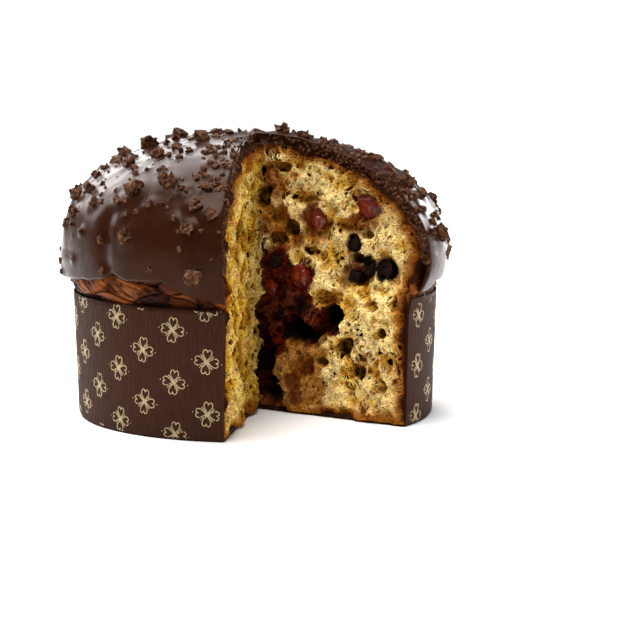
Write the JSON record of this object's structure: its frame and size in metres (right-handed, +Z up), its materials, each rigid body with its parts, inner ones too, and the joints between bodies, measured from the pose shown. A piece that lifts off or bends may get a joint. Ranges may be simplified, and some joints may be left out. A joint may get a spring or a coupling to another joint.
{
  "type": "panettone",
  "caption": "Low domed sweet bread in a paper case, under a chocolate glaze set with chocolate chunks, with one wedge cut out.",
  "frame": {"origin": "centre of the underside of the paper case", "axes": "+Z up, -Y to the front, towards the open wedge"},
  "size_m": [0.2213, 0.2223, 0.1618],
  "materials": {
    "crumb": "soft open crumb, cream yellow, with an amber crust",
    "glaze": "glossy dark chocolate, with rough brown chunks",
    "paper": "satin dark brown fluted paper with a pale gold pattern",
    "candied_fruit": "wet dark red candied peel",
    "chocolate": "dull dark chocolate"
  },
  "bodies": {
    "root": {"crumb": "crumb", "glaze": "glaze", "paper_case": "paper", "candied_fruit_1": "candied_fruit", "candied_fruit_2": "candied_fruit", "candied_fruit_3": "candied_fruit", "candied_fruit_4": "candied_fruit", "chocolate_piece_1": "chocolate", "chocolate_piece_2": "chocolate", "chocolate_piece_3": "chocolate", "chocolate_piece_4": "chocolate", "chocolate_piece_5": "chocolate"}
  },
  "joints": []
}
